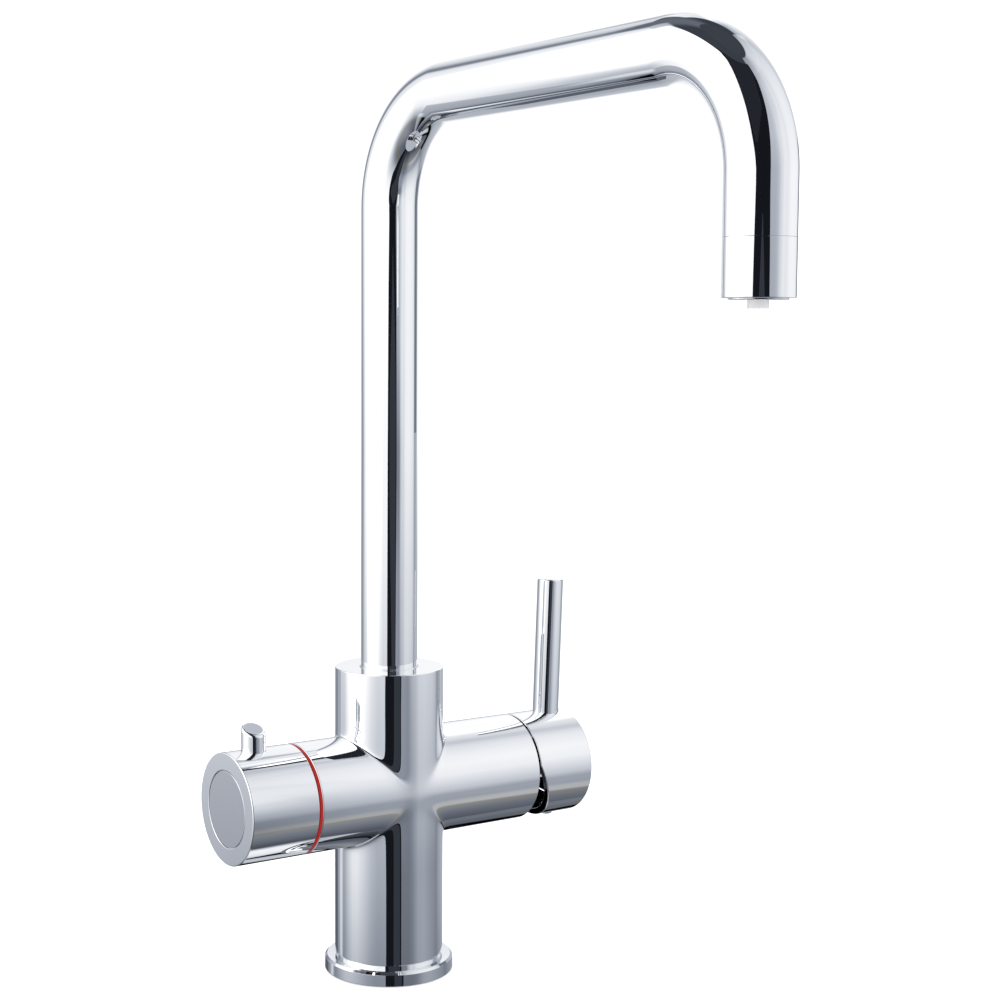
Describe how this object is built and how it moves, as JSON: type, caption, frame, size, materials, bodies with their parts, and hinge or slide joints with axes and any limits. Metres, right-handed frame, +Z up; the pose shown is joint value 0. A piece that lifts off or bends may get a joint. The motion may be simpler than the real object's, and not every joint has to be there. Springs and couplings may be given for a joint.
{
  "type": "boiling water tap",
  "caption": "Chrome kitchen tap with a cross shaped body, a square swivel spout, a mixer lever and a boiling water handle with a safety button.",
  "frame": {"origin": "centre of the hose recess at the underside of the base, where the tap meets the worktop", "axes": "+Z up along the swivel axis, X along the arms with the mixer lever at +X and the boiling handle at -X, the spout points along -Y"},
  "size_m": [0.177, 0.269, 0.3935],
  "materials": {
    "chrome": "polished",
    "chrome_disc": "satin",
    "brass": "machined",
    "steel": "machined",
    "ceramic": "lapped",
    "nylon": "moulded",
    "white_plastic": "moulded",
    "black_plastic": "moulded",
    "red_plastic": "moulded",
    "rubber": "moulded"
  },
  "bodies": {
    "tap_body": {"body_casting": "chrome", "base_flange": "chrome", "base_gasket": "rubber", "spout_top_ring": "chrome", "spout_lower_bearing": "nylon", "spout_retaining_screw": "steel", "boil_tube_seal": "rubber", "index_ring": "red_plastic", "boil_valve_housing": "brass", "boil_valve_seal": "rubber", "boil_fixed_disc": "ceramic", "boil_stop_ring": "steel", "cartridge_housing": "nylon", "cartridge_base": "white_plastic", "cartridge_base_seals": "rubber", "cartridge_fixed_disc": "ceramic", "cartridge_nut": "brass", "cartridge_shroud": "black_plastic"},
    "spout": {"spout_tube": "chrome", "spout_spigot": "brass", "spout_o_rings": "rubber", "boil_inner_tube": "nylon", "nozzle_adapter": "brass", "nozzle_sleeve": "chrome", "nozzle_washer": "rubber", "flow_insert": "steel", "boil_tip": "white_plastic"},
    "boil_handle": {"boil_handle_shell": "chrome", "boil_handle_disc": "chrome_disc", "boil_spindle": "brass", "boil_spindle_o_ring": "rubber", "boil_moving_disc": "ceramic", "boil_handle_screw": "steel", "button_spring": "steel"},
    "boil_button": {"safety_button": "chrome", "button_latch": "steel"},
    "mixer_carrier": {"cartridge_rotor": "nylon", "cartridge_pivot_pin": "steel"},
    "mixer_disc": {"cartridge_slider": "black_plastic", "cartridge_moving_disc": "ceramic"},
    "mixer_handle": {"cartridge_stem": "steel", "mixer_handle_shell": "chrome", "lever_pin": "chrome", "handle_grub_screw": "steel", "index_plug": "steel"}
  },
  "joints": [
    {"name": "spout_swivel", "type": "hinge", "parent": "tap_body", "child": "spout", "pos_m": [0, 0, 0.12], "axis": [0, 0, 1], "continuous": true},
    {"name": "boil_turn", "type": "hinge", "parent": "tap_body", "child": "boil_handle", "pos_m": [-0.055, 0, 0.0825], "axis": [1, 0, 0], "range_deg": [0, 90]},
    {"name": "button_press", "type": "slide", "parent": "boil_handle", "child": "boil_button", "axis": [0, 0, -1], "range_m": [0, 0.004], "stiffness_N_per_m": 500, "springref_m": -0.006, "deforming": ["button_spring"]},
    {"name": "mixer_turn", "type": "hinge", "parent": "tap_body", "child": "mixer_carrier", "pos_m": [0.055, 0, 0.0825], "axis": [1, 0, 0], "range_deg": [-45, 45]},
    {"name": "mixer_tilt", "type": "hinge", "parent": "mixer_carrier", "child": "mixer_handle", "pos_m": [0.055, 0, 0.0825], "axis": [0, 1, 0], "range_deg": [0, 20]},
    {"name": "disc_slide", "type": "slide", "parent": "mixer_carrier", "child": "mixer_disc", "axis": [0, 0, 1], "range_m": [0, 0.00503]}
  ],
  "couplings": [
    {"joint": "disc_slide", "follows": "mixer_tilt", "m_per_rad": 0.0144}
  ]
}
